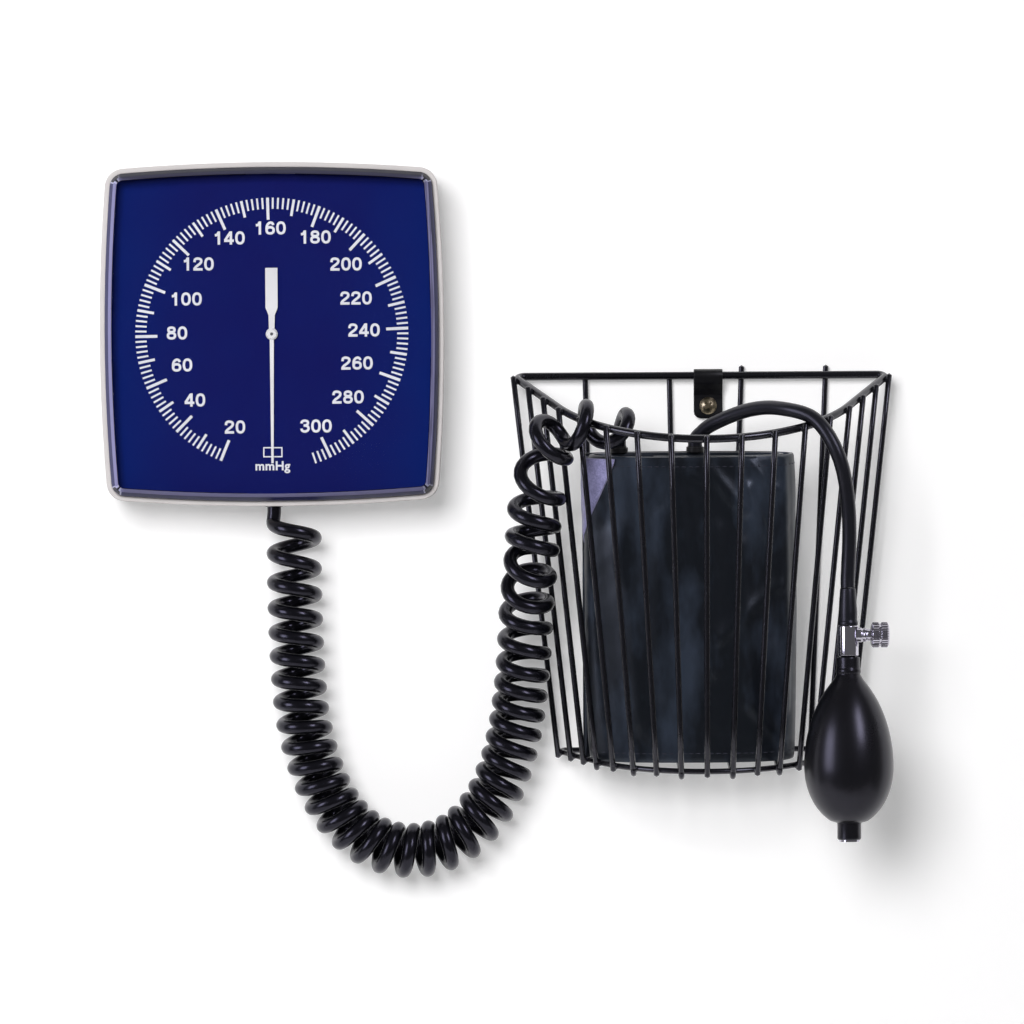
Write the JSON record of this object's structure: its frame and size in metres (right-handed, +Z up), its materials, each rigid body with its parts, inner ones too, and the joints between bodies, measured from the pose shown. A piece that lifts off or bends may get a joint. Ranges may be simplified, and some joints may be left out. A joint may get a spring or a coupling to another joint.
{
  "type": "wall-mounted aneroid sphygmomanometer",
  "caption": "Square wall-mounted pressure gauge with a curled tube, a wire basket holding a rolled cuff, and a hand bulb with release valve.",
  "frame": {"origin": "centre of the gauge's wall plate, on the wall plane", "axes": "+X to the right as seen from the front, +Z up, +Y into the wall, so the object is at negative Y"},
  "size_m": [0.3785, 0.1173, 0.3423],
  "materials": {
    "case_cream": "satin moulded plastic",
    "clear_cover": "clear polished acrylic",
    "dial_blue": "fine satin enamel",
    "scale_white": "printed white",
    "pointer_white": "white enamel",
    "black_rubber": "moulded black rubber",
    "steel": "zinc-plated and bright steel",
    "brass": "machined brass",
    "capsule_bronze": "pressed bronze",
    "spring_steel": "blued spring",
    "coated_wire": "black plastic dip coat over steel wire",
    "strap_black": "black coated strip",
    "chrome": "polished chrome",
    "cuff_nylon": "woven nylon, blue-black",
    "loop_patch": "brushed loop fabric, grey-lilac",
    "filter_felt": "pressed felt"
  },
  "bodies": {
    "root": {"wall_plate": "steel", "case_back": "case_cream", "cover_gasket": "black_rubber", "clear_cover": "clear_cover", "dial_plate": "dial_blue", "dial_scale": "scale_white", "movement_back_plate": "brass", "movement_front_plate": "brass", "movement_pillars": "brass", "movement_screws": "steel", "plate_screws": "steel", "capsule": "capsule_bronze", "inlet_block": "brass", "inlet_pipe": "brass", "inlet_connector": "brass", "tube_grommet": "black_rubber", "hairspring": "spring_steel", "hairspring_stud": "brass", "coiled_tube": "black_rubber", "inflation_hose": "black_rubber", "basket_top_rim": "coated_wire", "basket_bottom_rim": "coated_wire", "front_wires": "coated_wire", "floor_wires": "coated_wire", "back_wires": "coated_wire", "hanger_strap": "strap_black", "hanger_screw": "steel", "cuff_sleeve": "cuff_nylon", "cuff_bladder": "black_rubber", "cuff_loop_patch": "loop_patch", "tube_port": "black_rubber", "hose_port": "black_rubber", "hose_end_sleeve": "black_rubber", "release_valve_body": "chrome", "rubber_bulb": "black_rubber", "end_valve_body": "chrome", "end_valve_filter": "filter_felt"},
    "sector": {"sector_gear": "brass", "sector_arbor": "steel"},
    "pointer": {"pointer": "pointer_white", "pointer_hub": "pointer_white", "pointer_arbor": "steel", "drive_pinion": "brass", "hairspring_collet": "brass"},
    "rocker": {"rocking_shaft": "steel"},
    "capsule_rod": {"capsule_post": "steel"},
    "knob": {"valve_knob": "chrome", "valve_needle": "steel"},
    "inlet_ball": {"end_valve_ball": "steel"},
    "delivery_ball": {"outlet_ball": "steel"}
  },
  "joints": [
    {"name": "sector_swing", "type": "hinge", "parent": "root", "child": "sector", "pos_m": [0.00495, -0.0269, -0.02144], "axis": [0, -1, 0], "range_deg": [0, 33.75], "stiffness_Nm_per_rad": 0.05},
    {"name": "pointer_turn", "type": "hinge", "parent": "root", "child": "pointer", "pos_m": [0, -0.033, 0], "axis": [0, 1, 0], "range_deg": [0, 337.6]},
    {"name": "rocker_turn", "type": "hinge", "parent": "root", "child": "rocker", "pos_m": [0.00495, -0.0205, -0.019], "axis": [0, 0, 1], "range_deg": [0, 24.2]},
    {"name": "capsule_rise", "type": "slide", "parent": "root", "child": "capsule_rod", "axis": [0, -1, 0], "range_m": [0, 0.00208]},
    {"name": "release_knob_turn", "type": "hinge", "parent": "root", "child": "knob", "pos_m": [0.2715, -0.07, -0.1442], "axis": [1, 0, 0], "range_deg": [0, 540]},
    {"name": "inlet_ball_lift", "type": "slide", "parent": "root", "child": "inlet_ball", "axis": [0, 0, 1], "range_m": [0, 0.0008]},
    {"name": "delivery_ball_lift", "type": "slide", "parent": "root", "child": "delivery_ball", "axis": [0, 0, 1], "range_m": [0, 0.0006]}
  ],
  "couplings": [
    {"joint": "pointer_turn", "follows": "sector_swing", "ratio": 10},
    {"joint": "rocker_turn", "follows": "sector_swing", "ratio": 0.71491},
    {"joint": "capsule_rise", "follows": "sector_swing", "m_per_rad": 0.0035119}
  ]
}
